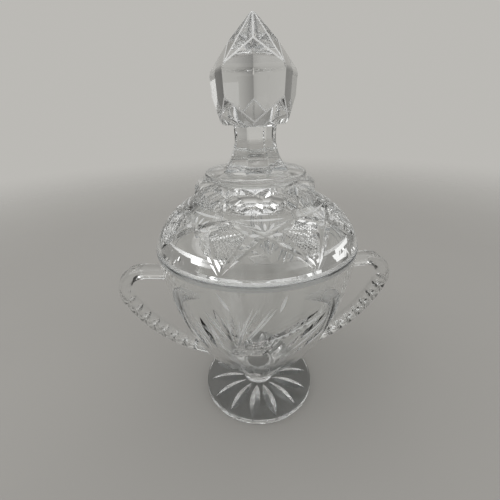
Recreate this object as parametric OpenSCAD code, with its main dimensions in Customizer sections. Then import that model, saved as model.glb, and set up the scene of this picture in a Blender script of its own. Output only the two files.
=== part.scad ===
// Footed sugar bowl of clear cut glass, with two loop handles and a lid with a faceted finial.
// Millimetres, +Z up, origin at the centre of the foot's underside, handles on +X and -X.

/* [Foot] */
// Diameter of the foot
foot_d = 70; // [60:1:90]
// Height of the foot's edge
foot_edge_h = 4.2; // [3:0.1:8]
// Rise of the foot's top from its edge to the stem
foot_rise = 2; // [1:0.1:6]
// Rounding of the foot's upper edge
foot_edge_r = 1; // [0.4:0.1:1.5]
// Number of rays in the star under the foot
ray_n = 14; // [8:1:16]
// Distance from the axis to the inner end of a ray
ray_in_r = 9; // [7:0.5:14]
// Plain glass between a ray's outer end and the foot's edge
ray_margin = 3; // [2:0.5:6]
// Depth of one ray
ray_depth = 2; // [0.6:0.1:2.2]

/* [Stem] */
// Diameter of the stem where it meets the foot and the bowl
stem_d = 22; // [16:0.5:28]
// Diameter of the stem's waist
stem_waist_d = 19; // [13:0.5:21]
// Height of the stem
stem_h = 4.8; // [3:0.2:12]

/* [Bowl] */
// Diameter of the bowl's rim
rim_d = 104.6; // [90:0.5:130]
// Diameter of the bowl's base
base_d = 24; // [23.5:0.5:36]
// Height of the bowl
bowl_h = 96; // [80:1:120]
// How far the bowl's side swells out from a straight cone
bowl_swell = 9.4; // [6:0.1:11]
// Thickness of the bowl's wall
bowl_wall = 5.4; // [4.2:0.1:7]
// Thickness of the glass in the bowl's bottom
floor_t = 9; // [7:0.5:15]
// Radius of the hollow's rounded bottom
floor_r = 30; // [28:1:40]
// Number of flats round the bowl's base
flat_n = 14; // [10:1:18]
// Height that the flats reach above the base
flat_h = 31; // [20:1:36]
// Depth of a flat below the round bowl at its two ends
flat_depth = 0.5; // [0.2:0.1:1]

/* [Spray on the bowl] */
// Turn of each spray's heart from the front or back of the bowl, in degrees
spray_turn = -17; // [-25:1:-5]
// Depth of the spray's heart below the bowl's rim
spray_drop = 38; // [34:0.5:42]
// Share of a blade's length that is left plain at the heart
heart_share = 0.14; // [0.12:0.02:0.3]
// Depth of the spray's blades
blade_depth = 1.3; // [0.6:0.1:1.6]
// Width of the scoops on both sides of a spray
scoop_w = 8; // [5:0.5:9]
// Depth of the scoops
scoop_depth = 1.6; // [0.8:0.1:2]

/* [Handles] */
// Reach of a handle beyond the bowl's rim
handle_out = 26.2; // [23:0.2:36]
// Width of a handle, across its loop
handle_w = 10; // [8:0.5:13]
// Thickness of a handle, in the plane of its loop
handle_t = 7.6; // [6:0.2:9]
// Radius of the tight upper bend, at the middle of the glass
bend_r = 11; // [8:0.5:13]
// Depth of the bend's centre below the bowl's rim
bend_drop = 29; // [27:0.5:36]
// Radius of the long lower sweep, at the middle of the glass
sweep_r = 75; // [70:1:80]
// Angle below level at which the bend runs into the lower sweep
bend_end = 22; // [18:1:26]
// Slope of the upper arm, in degrees
arm_slope = 5; // [0:1:12]
// Number of facets round the outside of the bend
bend_notches = 4; // [2:1:6]
// Number of facets along the outside of the sweep
sweep_notches = 8; // [4:1:10]
// Depth of a facet
notch_depth = 0.9; // [0.3:0.1:1.5]
// Growth of a handle's section where it is fused to the bowl
root_swell = 1.3; // [1:0.05:1.5]

/* [Lid] */
// Height of the lid's dome
dome_h = 22; // [18:0.5:30]
// How far the dome swells out from a straight cone
dome_swell = 3.5; // [2:0.1:4]
// Thickness of the dome's wall
dome_wall = 5.5; // [4.5:0.1:7]
// Diameter of the lid's shoulder, above the dome
shoulder_d = 62; // [58:0.5:70]
// Height of the shoulder
shoulder_h = 10.3; // [9:0.1:16]
// Diameter of the shoulder at its top
shoulder_top_d = 46; // [44:0.5:52]
// Number of flats round the shoulder
shoulder_flat_n = 12; // [8:1:16]
// Depth of the flats at the foot of the shoulder
shoulder_flat_depth = 1.2; // [0.6:0.1:1.6]
// Depth of the locating lip below the rim
lip_h = 3; // [2:0.2:6]
// Thickness of the locating lip
lip_t = 2.6; // [2:0.1:4]
// Thickness of the lid's crown, at the axis
crown_t = 7.1; // [6:0.1:8]
// Number of crossings in the lid's lattice
lattice_n = 8; // [6:1:10]
// Depth of one mitre cut
mitre_depth = 1.2; // [0.5:0.1:1.6]
// Height of the lower ends of the mitre cuts above the seat
mitre_low = 3.3; // [2.6:0.1:5]
// Distance of the crossings below the shoulder
crossing_drop = 5.2; // [4.4:0.1:8]
// Distance of the upper ends of the mitre cuts below the shoulder
mitre_top_drop = 1.4; // [1.2:0.1:3]

/* [Finial pad] */
// Diameter of the ring-shaped pad
pad_d = 49.4; // [46.5:0.2:60]
// Thickness of the pad
pad_h = 2.8; // [2:0.1:5]

/* [Finial] */
// Height of the fluted neck
neck_h = 20.3; // [18:0.1:26]
// Diameter of the neck at its waist, across the flutes
neck_waist_d = 18.8; // [14:0.2:22]
// Diameter of the neck's foot
neck_foot_d = 31; // [28:0.5:44]
// Height of the neck's waist above the pad
neck_waist_h = 15.5; // [14:0.1:17]
// Number of pairs of flutes in the neck
flute_pairs = 4; // [3:1:6]
// Height of the knob
knob_h = 42.5; // [36:0.5:54]
// Number of large faces on the knob
face_n = 5; // [4:1:6]
// Distance from the axis to the large faces, at the knob's widest level
face_r = 17; // [16:0.1:19]
// Height of the knob's widest level above its base
girdle_h = 21.4; // [18:0.1:24]
// Height of the upright edges between the large faces
belt_h = 10.5; // [6:0.1:13]
// Taper of the large faces towards the neck, in degrees
face_taper = 3; // [1:0.5:6]
// Height of the knob's spire
spire_h = 11.1; // [9:0.1:14]
// Distance from the axis to the ridges of the spire, at its foot
spire_r = 10.8; // [9.5:0.1:11.5]
// Height of the large faces' lower tips above the knob's base
face_tip_h = 1.4; // [0.8:0.1:3]
// Turn of the knob about its axis, in degrees
knob_turn = -5; // [-36:1:36]

/* [Fits] */
// Gap between the lid's seat and the bowl's rim
seat_gap = 0.2; // [0.1:0.05:0.4]
// Clearance round the locating lip
lip_gap = 0.6; // [0.3:0.1:1]

/* [Hidden] */
$fn = 96;
glass = [0.86, 0.9, 0.91];
deep_glass = [0.76, 0.82, 0.84];
// Half angles of the wheels that cut the rays, the blades and the lattice
ray_half_angle = 58;
blade_half_angle = 55;
mitre_half_angle = 52;
// Lean of the shoulder's flats towards the axis
flat_lean = 8;
// Blades that run from a spray's heart: the azimuth of each tip and its depth below the rim
blade_tips = [[-27, 12.7], [-17.6, 15], [-2, 7.5], [27, 17.5]];
// Fans beside the blades: azimuth and depth below the rim, at both ends of each cut
fan_ends = [[[-31.7, 41.6], [-36.6, 20.7]], [[-41.8, 47.8], [-47.2, 31.3]],
    [[10, 39], [33, 22]], [[18, 46], [38, 34]]];
// Scoops round the outside of a spray, by three spots of each
scoop_paths = [[[16, 7.5], [39, 18], [42, 44], 0.5], [[-32, 7.5], [-54, 18], [-54, 44], 0.5]];
cut_n = len(blade_tips) + len(fan_ends) + len(scoop_paths);
// Steps along one cut, and how far the wheels that cut along a path stand out of the glass
cut_steps = 12;
cut_lift = 0.6;
// Share of a mitre's length at which it meets its crossing, and how far its ends lie from the next mitre's
crossing_share = 0.61;
mitre_end_gap = 0.7;
// How far the neck runs up into the knob
neck_sink = 0.5;
// How far the hollow's cutter stands past the rim
over = 6;
// Level in the rounded bottom, as a share of its radius, from which the bowl's side alone bounds the hollow
floor_share = 0.7;
// Levels, from the foot up
foot_h = foot_edge_h + foot_rise;
bowl_z = foot_h + stem_h;
rim_z = bowl_z + bowl_h;
lid_z = rim_z + seat_gap;
dome_z = lid_z + dome_h;
pad_z = dome_z + shoulder_h;
finial_z = pad_z + pad_h;
knob_z = finial_z + neck_h;
tip_z = knob_z + knob_h;
// Radii that several pieces share
rim_r = rim_d / 2;
shoulder_r = shoulder_d / 2;
// Rays of the foot's star
ray_len = foot_d / 2 - ray_margin - ray_in_r;
ray_mid_r = ray_in_r + ray_len / 2;
// Arcs of the bowl's side and the lid's dome, each through two points
bowl_foot_pt = [base_d / 2, bowl_z];
bowl_rim_pt = [rim_r, rim_z];
bowl_arc_r = arc_radius(bowl_foot_pt, bowl_rim_pt, bowl_swell);
bowl_arc_c = arc_centre(bowl_foot_pt, bowl_rim_pt, bowl_swell);
mouth_r = arc_x(bowl_arc_c, bowl_arc_r - bowl_wall, rim_z - lip_h);
dome_rim_pt = [rim_r, lid_z];
dome_top_pt = [shoulder_r, dome_z];
dome_arc_r = arc_radius(dome_rim_pt, dome_top_pt, dome_swell);
dome_arc_c = arc_centre(dome_rim_pt, dome_top_pt, dome_swell);
lip_r = mouth_r - lip_gap;
lid_hollow_r = lip_r - lip_t;
// Centre line of a handle
bend_c = [rim_r + handle_out - handle_t / 2 - bend_r, rim_z - bend_drop];
sweep_c = bend_c + (bend_r - sweep_r) * [cos(bend_end), -sin(bend_end)];
sweep_end = 86;
// Stretch of the sweep beside the bowl that has no facets, in degrees
sweep_plain = 22;
arm_up = 90 + arm_slope;
// Distance from the rim at which the upper arm begins to swell
arm_plain = 2;
// Distance from the axis at which the upper arm ends, inside the bowl's outline
deep_root = arc_x(bowl_arc_c, bowl_arc_r, bend_c[1] + bend_r) - bowl_wall;

function arc_radius(p, q, swell) = pow(norm(q - p), 2) / (8 * swell) + swell / 2;
function arc_inward(p, q) = let (d = (q - p) / norm(q - p)) d[1] * [-1, 0] + d[0] * [0, 1];
function arc_centre(p, q, swell) = (p + q) / 2 + arc_side(p, q) * (arc_radius(p, q, swell) - swell);
// Unit normal of the chord from p to q, on the side of the axis
function arc_side(p, q) = let (n = arc_inward(p, q)) n[0] < 0 ? n : -n;
function arc_x(c, r, z) = c[0] + sqrt(r * r - pow(z - c[1], 2));
// A spot of a turned arc, by its azimuth from the front and its height, and the way out of the glass there
function arc_spot(c, r, spot) =
    let (x = arc_x(c, r, spot[1]), out = (x - c[0]) / r, a = spot[0] - 90)
    [[x * cos(a), x * sin(a), spot[1]], [out * cos(a), out * sin(a), (spot[1] - c[1]) / r]];
// A path through three spots, the middle one at a share of its length, and where it lies at a share t
function straight_path(p, q) = [p, (p + q) / 2, q, 0.5];
function path_spot(path, t) =
    let (m = path[3], bow = t * (1 - t) / (m * (1 - m)))
    path[0] + t * (path[2] - path[0]) + bow * (path[1] - path[0] - m * (path[2] - path[0]));
// Sections of a sharp wheel and of a round one, as distances across the cut and out of the glass
function v_section(share, depth, half_angle) =
    let (half = (cut_lift + share * depth) * tan(half_angle))
    [[0, -share * depth], [half, cut_lift], [-half, cut_lift]];
function u_section(share, depth, width) =
    let (half = width / 2 * sqrt(share + cut_lift / depth))
    [for (i = [-3 : 3]) let (x = i / 3 * half) [x, depth * (pow(2 * x / width, 2) - share)]];

// The half plane right of the axis, between two levels
module band(z0, z1, w = 200) {
    translate([0, z0]) square([w, z1 - z0]);
}

module disc_at(c, r) {
    translate(c) circle(r = r, $fn = 180);
}

// A double cone with its edge at radius r, turning about Y
module v_wheel(r, half_angle) {
    rotate([90, 0, 0]) rotate_extrude()
        polygon([[0, -r * tan(half_angle)], [r, 0], [0, r * tan(half_angle)]]);
}

// What a wheel takes from a turned arc along a path: deepest halfway, and nothing at both ends.
// A cut with a width has a round floor, and one without is a sharp mitre.
module path_cut(c, r, path, depth, half_angle, width = 0) {
    reach = sqrt(1 + cut_lift / depth);
    spots = [for (i = [0 : cut_steps])
        arc_spot(c, r, path_spot(path, 0.5 + reach * (i / cut_steps - 0.5)))];
    rings = [for (i = [1 : cut_steps - 1])
        let (out = spots[i][1], run = spots[i + 1][0] - spots[i - 1][0],
            side = cross(out, run), across = side / norm(side),
            share = 1 - pow(reach * (2 * i / cut_steps - 1), 2),
            section = width > 0 ? u_section(share, depth, width) : v_section(share, depth, half_angle))
        [for (q = section) spots[i][0] + q[0] * across + q[1] * out]];
    sides = len(rings[0]);
    last = len(rings) - 1;
    end = 1 + len(rings) * sides;
    polyhedron(
        points = concat([spots[0][0] + cut_lift * spots[0][1]], [for (ring = rings) each ring],
            [spots[cut_steps][0] + cut_lift * spots[cut_steps][1]]),
        faces = concat(
            [for (j = [0 : sides - 1]) [0, 1 + j, 1 + (j + 1) % sides]],
            [for (i = [0 : last - 1], j = [0 : sides - 1], half = [0, 1])
                let (a = 1 + i * sides + j, b = 1 + i * sides + (j + 1) % sides)
                half == 0 ? [a, a + sides, b] : [b, a + sides, b + sides]],
            [for (j = [0 : sides - 1])
                [end, 1 + last * sides + (j + 1) % sides, 1 + last * sides + j]]));
}

// Takes the second child out of the first, n times, with the turn's number in $turn
module cut_in_turn(n) {
    if (n < 1) children(0);
    else difference() {
        cut_in_turn(n - 1) {
            children(0);
            children(1);
        }
        let ($turn = n - 1) children(1);
    }
}

// One ray of the star: the part of a sharp-edged wheel that reaches into the foot
module ray_leaf() {
    ray_wheel_r = ray_len * ray_len / (8 * ray_depth) + ray_depth / 2;
    intersection() {
        translate([ray_mid_r, 0, ray_depth - ray_wheel_r]) v_wheel(ray_wheel_r, ray_half_angle);
        translate([ray_in_r - 1, -ray_len / 2, -0.2]) cube([ray_len + 2, ray_len, foot_edge_h]);
    }
}

module foot() {
    color(glass) difference() {
        rotate_extrude() foot_section();
        for (i = [0 : ray_n - 1]) rotate([0, 0, (i + 0.5) * 360 / ray_n]) ray_leaf();
    }
}

module foot_section() {
    r = foot_d / 2;
    rounded = foot_edge_h - foot_edge_r;
    polygon([[0, 0], [r, 0], [r, rounded], [r - foot_edge_r, foot_edge_h],
        [stem_d / 2, foot_h], [0, foot_h]]);
    intersection() {
        disc_at([r - foot_edge_r, rounded], foot_edge_r);
        translate([r - foot_edge_r, rounded]) square(foot_edge_r);
    }
}

module stem() {
    dip = (stem_d - stem_waist_d) / 2;
    waist_r = stem_h * stem_h / (8 * dip) + dip / 2;
    color(deep_glass) translate([0, 0, foot_h]) rotate_extrude() difference() {
        square([stem_d / 2, stem_h]);
        disc_at([stem_waist_d / 2 + waist_r, stem_h / 2], waist_r);
    }
}

// The bowl as a solid, before it is hollowed or its sprays are cut
module bowl_blank() {
    flat_top = bowl_z + flat_h;
    flat_run = arc_x(bowl_arc_c, bowl_arc_r, flat_top) - base_d / 2;
    flat_tilt = atan(flat_run / flat_h);
    flat_size = 3 * flat_h;
    difference() {
        rotate_extrude() intersection() {
            disc_at(bowl_arc_c, bowl_arc_r);
            band(bowl_z, rim_z);
        }
        for (i = [0 : flat_n - 1]) rotate([0, 0, (i + 0.5) * 360 / flat_n])
            translate([base_d / 2 - flat_depth, 0, bowl_z]) rotate([0, flat_tilt, 0])
                translate([0, -flat_size / 2, -flat_size / 2]) cube(flat_size);
    }
}

module bowl_hollow() {
    floor_z = bowl_z + floor_t;
    rotate_extrude() intersection() {
        disc_at(bowl_arc_c, bowl_arc_r - bowl_wall);
        union() {
            intersection() {
                disc_at([0, floor_z + floor_r], floor_r);
                band(floor_z - 1, floor_z + floor_r);
            }
            band(floor_z + floor_r * floor_share, rim_z + over);
        }
    }
}

// One cut of the sprays: the blades come first, then the fans and the scoops, and then the same at the back
module spray_cut(turn) {
    i = turn % cut_n;
    blades = len(blade_tips);
    fans = len(fan_ends);
    back = turn < cut_n ? 0 : 180;
    heart = [spray_turn, spray_drop];
    drops = i < blades ? straight_path(heart + heart_share * (blade_tips[i] - heart), blade_tips[i])
        : i < blades + fans ? straight_path(fan_ends[i - blades][0], fan_ends[i - blades][1])
        : scoop_paths[i - blades - fans];
    path = [for (k = [0 : 2]) [drops[k][0] + back, rim_z - drops[k][1]]];
    width = i < blades + fans ? 0 : scoop_w;
    depth = i < blades + fans ? blade_depth : scoop_depth;
    path_cut(bowl_arc_c, bowl_arc_r, concat(path, [drops[3]]), depth, blade_half_angle, width);
}

module bowl() {
    color(glass) cut_in_turn(2 * cut_n) {
        difference() {
            bowl_blank();
            bowl_hollow();
        }
        spray_cut($turn);
    }
}

// A ring of the handle: where its middle lies in the XZ plane, the angle of its outside above level,
// how deep a facet is cut there, and how far it swells where it is fused to the bowl
function arc_ring(c, r, up, cut) = [c + r * [cos(up), sin(up)], up, cut, 1];
function arm_ring(back, swell) =
    let (bend_top = bend_c + bend_r * [cos(arm_up), sin(arm_up)])
    [bend_top - back * [cos(arm_slope), sin(arm_slope)], arm_up, 0, swell];
function root_ring(up, swell) = [sweep_c + sweep_r * [cos(up), sin(up)], up, 0, swell];
// Outline of one ring, as distances out of the loop and across it
function ring_outline(cut, swell) =
    let (t = swell * handle_t / 2, w = swell * handle_w / 2, o = t - cut)
    [[o, 0.5 * w], [0.3 * t, w], [-0.35 * t, 0.94 * w], [-0.85 * t, 0.6 * w], [-t, 0],
     [-0.85 * t, -0.6 * w], [-0.35 * t, -0.94 * w], [0.3 * t, -w], [o, -0.5 * w]];
function ring_points(ring) =
    [for (q = ring_outline(ring[2], ring[3]))
        [ring[0][0] + q[0] * cos(ring[1]), q[1], ring[0][1] + q[0] * sin(ring[1])]];

module handle_blank() {
    arm_len = bend_c[0];
    bend_span = arm_up + bend_end;
    sweep_span = sweep_end - sweep_plain - bend_end;
    bend_step = bend_span / (2 * bend_notches);
    sweep_step = sweep_span / (2 * sweep_notches);
    mid_swell = 1 + (root_swell - 1) / 3;
    rings = concat(
        [arm_ring(arm_len - deep_root, root_swell), arm_ring(arm_len - rim_r - arm_plain, 1)],
        [for (i = [0 : 2 * bend_notches - 1])
            arc_ring(bend_c, bend_r, arm_up - i * bend_step, i % 2 * notch_depth)],
        [for (i = [0 : 2 * sweep_notches])
            arc_ring(sweep_c, sweep_r, -bend_end - i * sweep_step, i % 2 * notch_depth)],
        [root_ring(sweep_plain / 2 - sweep_end, mid_swell), root_ring(-sweep_end, root_swell)]);
    sides = len(ring_outline(0, 1));
    last = len(rings) - 1;
    polyhedron(
        points = [for (ring = rings) each ring_points(ring)],
        faces = concat(
            [[for (j = [sides - 1 : -1 : 0]) j]],
            [for (i = [0 : last - 1], j = [0 : sides - 1], half = [0, 1])
                let (a = i * sides + j, b = i * sides + (j + 1) % sides)
                half == 0 ? [a, b, a + sides] : [b, b + sides, a + sides]],
            [[for (j = [0 : sides - 1]) last * sides + j]]));
}

module handle_right() {
    color(deep_glass) difference() {
        handle_blank();
        bowl_blank();
    }
}

module handle_left() {
    rotate([0, 0, 180]) handle_right();
}

module lid_section() {
    top_r = shoulder_top_d / 2;
    shoulder_round = shoulder_r - top_r;
    round_z = pad_z - shoulder_round;
    difference() {
        union() {
            intersection() {
                disc_at(dome_arc_c, dome_arc_r);
                band(lid_z, dome_z);
            }
            band(dome_z, round_z, shoulder_r);
            band(dome_z, pad_z, top_r);
            intersection() {
                disc_at([top_r, round_z], shoulder_round);
                translate([top_r, round_z]) square(shoulder_round);
            }
            band(lid_z - lip_h, lid_z, lip_r);
        }
        lid_hollow_section();
    }
}

// The hollow's side follows the dome, and its crown is an arc that runs on from the side
module lid_hollow_section() {
    side_r = dome_arc_r - dome_wall;
    crown_top = pad_z - crown_t;
    rise = crown_top - dome_arc_c.y;
    crown_r = (pow(dome_arc_c.x, 2) + pow(rise, 2) - pow(side_r, 2)) / (2 * (rise - side_r));
    intersection() {
        disc_at(dome_arc_c, side_r);
        band(lid_z - lip_h - 1, dome_z, lid_hollow_r);
    }
    intersection() {
        disc_at([0, crown_top - crown_r], crown_r);
        band(lid_z, crown_top + 1, crown_r * dome_arc_c.x / (crown_r - side_r));
    }
}

// One mitre cut of the lattice: even turns lean one way, odd turns the other
module lattice_cut(turn) {
    step = 180 / lattice_n - mitre_end_gap;
    hand = turn % 2 == 0 ? -1 : 1;
    az = floor(turn / 2) * 360 / lattice_n;
    path_cut(dome_arc_c, dome_arc_r,
        [[az + hand * step, lid_z + mitre_low], [az, dome_z - crossing_drop],
            [az - hand * step, dome_z - mitre_top_drop], crossing_share],
        mitre_depth, mitre_half_angle);
}

// A block whose inner face is one flat of the shoulder
module shoulder_flat(turn) {
    rotate([0, 0, (turn + 0.5) * 360 / shoulder_flat_n])
        translate([shoulder_r - shoulder_flat_depth, 0, dome_z]) rotate([0, -flat_lean, 0])
            translate([0, -shoulder_r, 0]) cube([shoulder_d, shoulder_d, 2 * shoulder_h]);
}

module lid() {
    color(glass) cut_in_turn(2 * lattice_n) {
        cut_in_turn(shoulder_flat_n) {
            rotate_extrude() lid_section();
            shoulder_flat($turn);
        }
        lattice_cut($turn);
    }
}

module finial_pad() {
    edge_r = pad_h / 2;
    color(deep_glass) translate([0, 0, pad_z]) rotate_extrude() {
        square([pad_d / 2 - edge_r, pad_h]);
        intersection() {
            disc_at([pad_d / 2 - edge_r, edge_r], edge_r);
            band(0, pad_h);
        }
    }
}

// A point of the knob, from its azimuth, its distance from the axis and its height over the base
function knob_point(az, r, up) = [r * cos(az - 90), r * sin(az - 90), knob_z + up];

// One ring of the knob's corners, on the large faces' middles or, half a step on, between the faces
function knob_ring(r, up, on = 0) = [for (i = [0 : face_n - 1])
    knob_point(knob_turn + (2 * i + on) * 180 / face_n, r, up)];

// A spire on top, large faces with upright edges between them, and lower faces down to the neck
module knob() {
    n = face_n;
    share = cos(180 / n);
    taper = tan(face_taper);
    belt_foot = girdle_h - belt_h;
    belt_foot_r = (face_r - taper * belt_h) / share;
    face_tip_r = face_r - taper * (girdle_h - face_tip_h);
    tip_share = face_tip_h / belt_foot;
    base_r = (share * face_tip_r - tip_share * belt_foot_r) / (1 - tip_share);
    rings = [
        knob_ring(spire_r, knob_h - spire_h),
        knob_ring(face_r / share, girdle_h, 1),
        knob_ring(belt_foot_r, belt_foot, 1),
        knob_ring(face_tip_r, face_tip_h),
        knob_ring(base_r / share, 0)];
    polyhedron(
        points = concat([for (ring = rings) each ring], [[0, 0, tip_z]]),
        faces = concat(
            [for (i = [0 : n - 1], face = let (j = (i + 1) % n, h = (i + n - 1) % n) [
                [5 * n, n + i, i],
                [5 * n, j, n + i],
                [i, n + i, n + h],
                [n + h, n + i, 2 * n + i, 3 * n + i, 2 * n + h],
                [2 * n + i, 3 * n + j, 4 * n + j, 4 * n + i, 3 * n + i]]) face],
            [[for (i = [0 : n - 1]) 4 * n + i]]));
}

// Section of the neck through two opposite flutes
module neck_section() {
    waist_r = neck_waist_d / 2;
    foot_r = neck_foot_d / 2;
    flute_r = (pow(foot_r - waist_r, 2) + pow(neck_waist_h, 2)) / (2 * (foot_r - waist_r));
    difference() {
        translate([-foot_r, 0]) square([neck_foot_d, neck_h + neck_sink]);
        for (side = [-1, 1]) disc_at([side * (waist_r + flute_r), neck_waist_h], flute_r);
    }
}

module neck() {
    translate([0, 0, finial_z]) intersection_for(i = [0 : flute_pairs - 1])
        rotate([0, 0, i * 180 / flute_pairs]) rotate([90, 0, 0])
            linear_extrude(2 * neck_foot_d, center = true) neck_section();
}

module finial() {
    color(glass) {
        neck();
        knob();
    }
}

foot();
stem();
bowl();
handle_left();
handle_right();
lid();
finial_pad();
finial();
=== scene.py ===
"""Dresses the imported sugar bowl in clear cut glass, and sets up the studio that it is seen in.

Lengths are in mm until a piece is delivered to the frame, and those of the finishes and the studio
in metres. Azimuths are in degrees from the front, rightwards.
"""

import logging
import math
from dataclasses import dataclass, replace
from enum import Enum
from typing import Any, Sequence

import bmesh
import bpy
from mathutils import Matrix, Vector

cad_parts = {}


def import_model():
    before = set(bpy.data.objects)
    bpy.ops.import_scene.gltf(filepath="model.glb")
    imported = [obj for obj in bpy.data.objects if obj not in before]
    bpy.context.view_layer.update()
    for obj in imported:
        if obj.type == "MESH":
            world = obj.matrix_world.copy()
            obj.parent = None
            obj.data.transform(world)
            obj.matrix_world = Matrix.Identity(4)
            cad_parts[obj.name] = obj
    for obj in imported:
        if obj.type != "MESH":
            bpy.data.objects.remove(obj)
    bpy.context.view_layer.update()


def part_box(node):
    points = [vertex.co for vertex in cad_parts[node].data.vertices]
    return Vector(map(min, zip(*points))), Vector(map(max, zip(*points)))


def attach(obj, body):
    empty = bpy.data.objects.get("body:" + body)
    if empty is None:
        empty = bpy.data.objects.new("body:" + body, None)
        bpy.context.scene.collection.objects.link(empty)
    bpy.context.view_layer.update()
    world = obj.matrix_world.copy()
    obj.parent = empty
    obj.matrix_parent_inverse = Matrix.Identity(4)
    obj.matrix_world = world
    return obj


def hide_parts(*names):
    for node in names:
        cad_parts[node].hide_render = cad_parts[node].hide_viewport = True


LOG = logging.getLogger("sugar_bowl")
MM = 0.001

# The attribute that says which stretch of its outline a face belongs to, and its marks for others
STRETCH = "stretch"
FRESH_CUT = -1
DRESSED = -2

# Edges above this angle stay sharp, and edges that rise by this share of their length are upright
SHARP_ANGLE = math.radians(13)
UPRIGHT = 0.98

ON_AXIS = 1e-6
LIP_DEPTH = 3.0
SEAT_GAP = 0.2

Pair = tuple[float, float]
Triple = tuple[float, float, float]


class Socket:
    """A node's output, on which Python's operators add Math nodes."""

    def __init__(self, graph: "Graph", link: bpy.types.NodeSocket) -> None:
        """Keeps the graph and the socket that later nodes link from."""
        self.graph = graph
        self.link = link

    def _math(self, operation: str, first: Any, second: Any) -> "Socket":
        """One Math node on two values, each a socket or a number."""
        return self.graph.add("ShaderNodeMath", {0: first, 1: second}, operation=operation)

    def __add__(self, other: Any) -> "Socket":
        """The sum."""
        return self._math("ADD", self, other)

    __radd__ = __add__

    def __sub__(self, other: Any) -> "Socket":
        """The difference."""
        return self._math("SUBTRACT", self, other)

    def __rsub__(self, other: Any) -> "Socket":
        """The difference, taken from a number."""
        return self._math("SUBTRACT", other, self)

    def __mul__(self, other: Any) -> "Socket":
        """The product."""
        return self._math("MULTIPLY", self, other)

    __rmul__ = __mul__

    def __truediv__(self, other: Any) -> "Socket":
        """The quotient."""
        return self._math("DIVIDE", self, other)

    def __rtruediv__(self, other: Any) -> "Socket":
        """The quotient of a number by this value."""
        return self._math("DIVIDE", other, self)


class Graph:
    """A node tree, and the one way in which nodes are added to it."""

    def __init__(self, tree: bpy.types.NodeTree) -> None:
        """Empties the tree and keeps it."""
        tree.nodes.clear()
        self.tree = tree

    def node(
        self, kind: str, inputs: dict[Any, Any] | None = None, **settings: Any
    ) -> bpy.types.Node:
        """Adds a node.

        Args:
            kind: The node's type.
            inputs: Values or sockets, by the name or number of the node's input.
            **settings: Properties of the node, set before its sockets; stops fills a colour ramp.

        Returns:
            The node.
        """
        made = self.tree.nodes.new(kind)
        for name, value in settings.items():
            if name == "stops":
                self._fill_ramp(made, value)
            else:
                setattr(made, name, value)
        for key, value in (inputs or {}).items():
            if isinstance(value, Socket):
                self.tree.links.new(value.link, made.inputs[key])
            else:
                made.inputs[key].default_value = value
        return made

    def add(
        self, kind: str, inputs: dict[Any, Any] | None = None, out: int | str = 0, **settings: Any
    ) -> Socket:
        """Adds a node and gives one of its outputs."""
        return Socket(self, self.node(kind, inputs, **settings).outputs[out])

    def noise(self, place: Socket, scale: float, detail: float) -> Socket:
        """A noise texture at a place."""
        return self.add("ShaderNodeTexNoise", {"Vector": place, "Scale": scale, "Detail": detail})

    def mixed(self, factor: Socket, first: Any, second: Any) -> Socket:
        """A mix of two colours."""
        return self.add("ShaderNodeMix", {0: factor, 6: first, 7: second}, 2, data_type="RGBA")

    def eased(
        self, value: Socket, low: float, high: float, at_low: float = 0.0, at_high: float = 1.0
    ) -> Socket:
        """A soft step between two values.

        Args:
            value: What the step follows.
            low: Where it starts.
            high: Where it ends.
            at_low: The value before its start.
            at_high: The value after its end.

        Returns:
            The stepped value.
        """
        ends = {"From Min": low, "From Max": high, "To Min": at_low, "To Max": at_high}
        given = {"Value": value, **ends}
        return self.add("ShaderNodeMapRange", given, interpolation_type="SMOOTHSTEP")

    @staticmethod
    def _fill_ramp(ramp: bpy.types.Node, stops: Sequence[tuple[float, Triple]]) -> None:
        """Gives a colour ramp its stops.

        Args:
            ramp: The ramp's node.
            stops: Places and colours, in order.
        """
        elements = ramp.color_ramp.elements
        while len(elements) < len(stops):
            elements.new(1.0)
        for element, (place, colour) in zip(elements, stops):
            element.position = place
            element.color = (*colour, 1.0)


def dimmed(colour: Triple, share: float) -> Triple:
    """A share of a colour."""
    return tuple(share * c for c in colour)


@dataclass(frozen=True)
class Coating:
    """What all finishes share: a name, and a material made from the surface that each one gives."""

    name: str

    def surface(self, graph: Graph) -> Socket:
        """The finish's shader; by itself a surface that light passes straight through."""
        return graph.add("ShaderNodeBsdfTransparent", {"Color": (1.0, 1.0, 1.0, 1.0)})

    def make(self) -> bpy.types.Material:
        """Builds the material.

        Returns:
            The material, with the finish's surface.
        """
        material = bpy.data.materials.new(self.name)
        material.use_nodes = True
        graph = Graph(material.node_tree)
        graph.node("ShaderNodeOutputMaterial", {"Surface": self.surface(graph)})
        return material


@dataclass(frozen=True)
class FusedFinish(Coating):
    """The inside of a fused joint, where glass runs on into glass and nothing shows."""


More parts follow.
